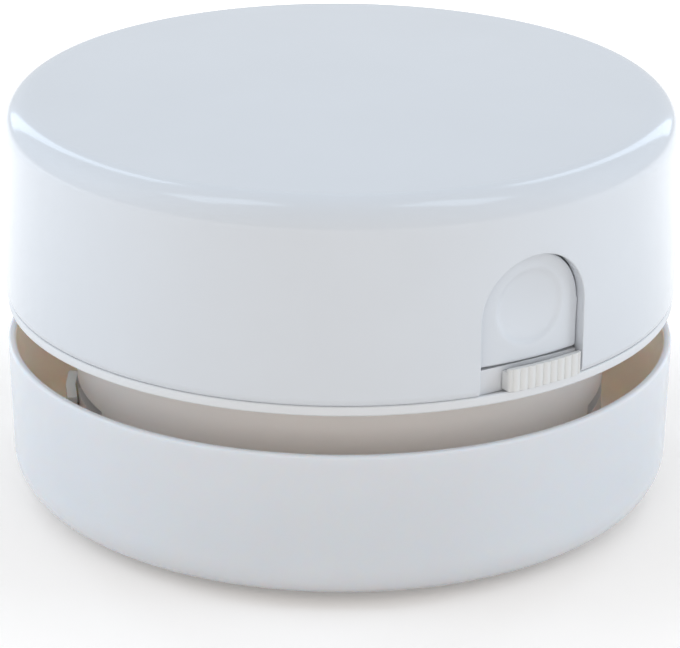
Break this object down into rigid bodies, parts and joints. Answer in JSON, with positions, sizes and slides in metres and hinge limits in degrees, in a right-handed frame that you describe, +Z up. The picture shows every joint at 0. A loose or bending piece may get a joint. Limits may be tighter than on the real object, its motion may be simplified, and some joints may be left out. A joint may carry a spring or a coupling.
{
  "type": "desktop mini vacuum cleaner",
  "caption": "Small round desktop vacuum cleaner: brushed inlet under a dust bowl, lift-off motor carrier with open exhaust slit, lift-off cap, arched release button and slide switch.",
  "frame": {"origin": "centre of the footprint on the surface that the cleaner stands on", "axes": "+Z up along the axis of the round body; -Y is the side with the release button and slide switch; +X is right when facing that side's outside from behind the body"},
  "size_m": [0.084, 0.0841, 0.0523],
  "materials": {
    "cap_white": "glossy",
    "bowl_white": "satin gloss",
    "carrier_white": "fine matt moulding",
    "slider_white": "satin",
    "button_white": "satin gloss",
    "tray_grey": "matt",
    "filter_grey": "matt",
    "mesh_grey": "woven nylon",
    "seal_rubber": "matt",
    "brush_black": "matt",
    "bristle_grey": "nylon strands",
    "pad_white": "slick",
    "impeller_white": "satin",
    "motor_steel": "zinc plated",
    "magnet_dark": "matt ferrite",
    "bronze": "sintered",
    "motor_plastic": "matt nylon",
    "terminal_brass": "bright",
    "screw_steel": "zinc plated",
    "shaft_steel": "ground",
    "copper": "enamelled wire",
    "cell_jacket": "printed jacket",
    "contact_nickel": "nickel plated",
    "wire_red": "PVC",
    "wire_white": "PVC",
    "wire_black": "PVC",
    "switch_metal": "tin plated",
    "lever_black": "matt"
  },
  "bodies": {
    "bowl": {"bowl": "bowl_white", "brush_backing": "brush_black", "brush_bristles": "bristle_grey", "glide_pads": "pad_white"},
    "carrier": {"carrier": "carrier_white", "filter_frame": "filter_grey", "filter_mesh": "mesh_grey", "seal_ring": "seal_rubber", "motor_can": "motor_steel", "motor_magnets": "magnet_dark", "motor_bushes": "bronze", "motor_end_cap": "motor_plastic", "motor_terminals": "terminal_brass", "motor_screws": "screw_steel", "battery_tray": "tray_grey", "tray_screws": "screw_steel", "battery_right": "cell_jacket", "battery_left": "cell_jacket", "contact_plates": "contact_nickel", "contact_springs": "contact_nickel", "wire_red": "wire_red", "wire_white": "wire_white", "wire_black": "wire_black", "button_guide": "carrier_white", "guide_screws": "screw_steel", "button_spring": "contact_nickel", "switch_case": "switch_metal", "switch_terminals": "terminal_brass"},
    "rotor": {"motor_shaft": "shaft_steel", "armature": "copper", "impeller": "impeller_white"},
    "button": {"release_button": "button_white"},
    "slider": {"switch_slider": "slider_white", "switch_lever": "lever_black"},
    "cap": {"cap": "cap_white"}
  },
  "joints": [
    {"name": "carrier_lift", "type": "slide", "parent": "bowl", "child": "carrier", "axis": [0, 0, 1], "range_m": [0, 0.04]},
    {"name": "cap_lift", "type": "slide", "parent": "carrier", "child": "cap", "axis": [0, 0, 1], "range_m": [0, 0.035]},
    {"name": "impeller_spin", "type": "hinge", "parent": "carrier", "child": "rotor", "pos_m": [0, 0, 0.0195], "axis": [0, 0, 1], "continuous": true},
    {"name": "button_press", "type": "slide", "parent": "carrier", "child": "button", "axis": [0, 1, 0], "range_m": [0, 0.0015], "stiffness_N_per_m": 400, "deforming": ["button_spring"]},
    {"name": "switch_slide", "type": "slide", "parent": "carrier", "child": "slider", "axis": [-1, 0, 0], "range_m": [0, 0.0035]}
  ]
}
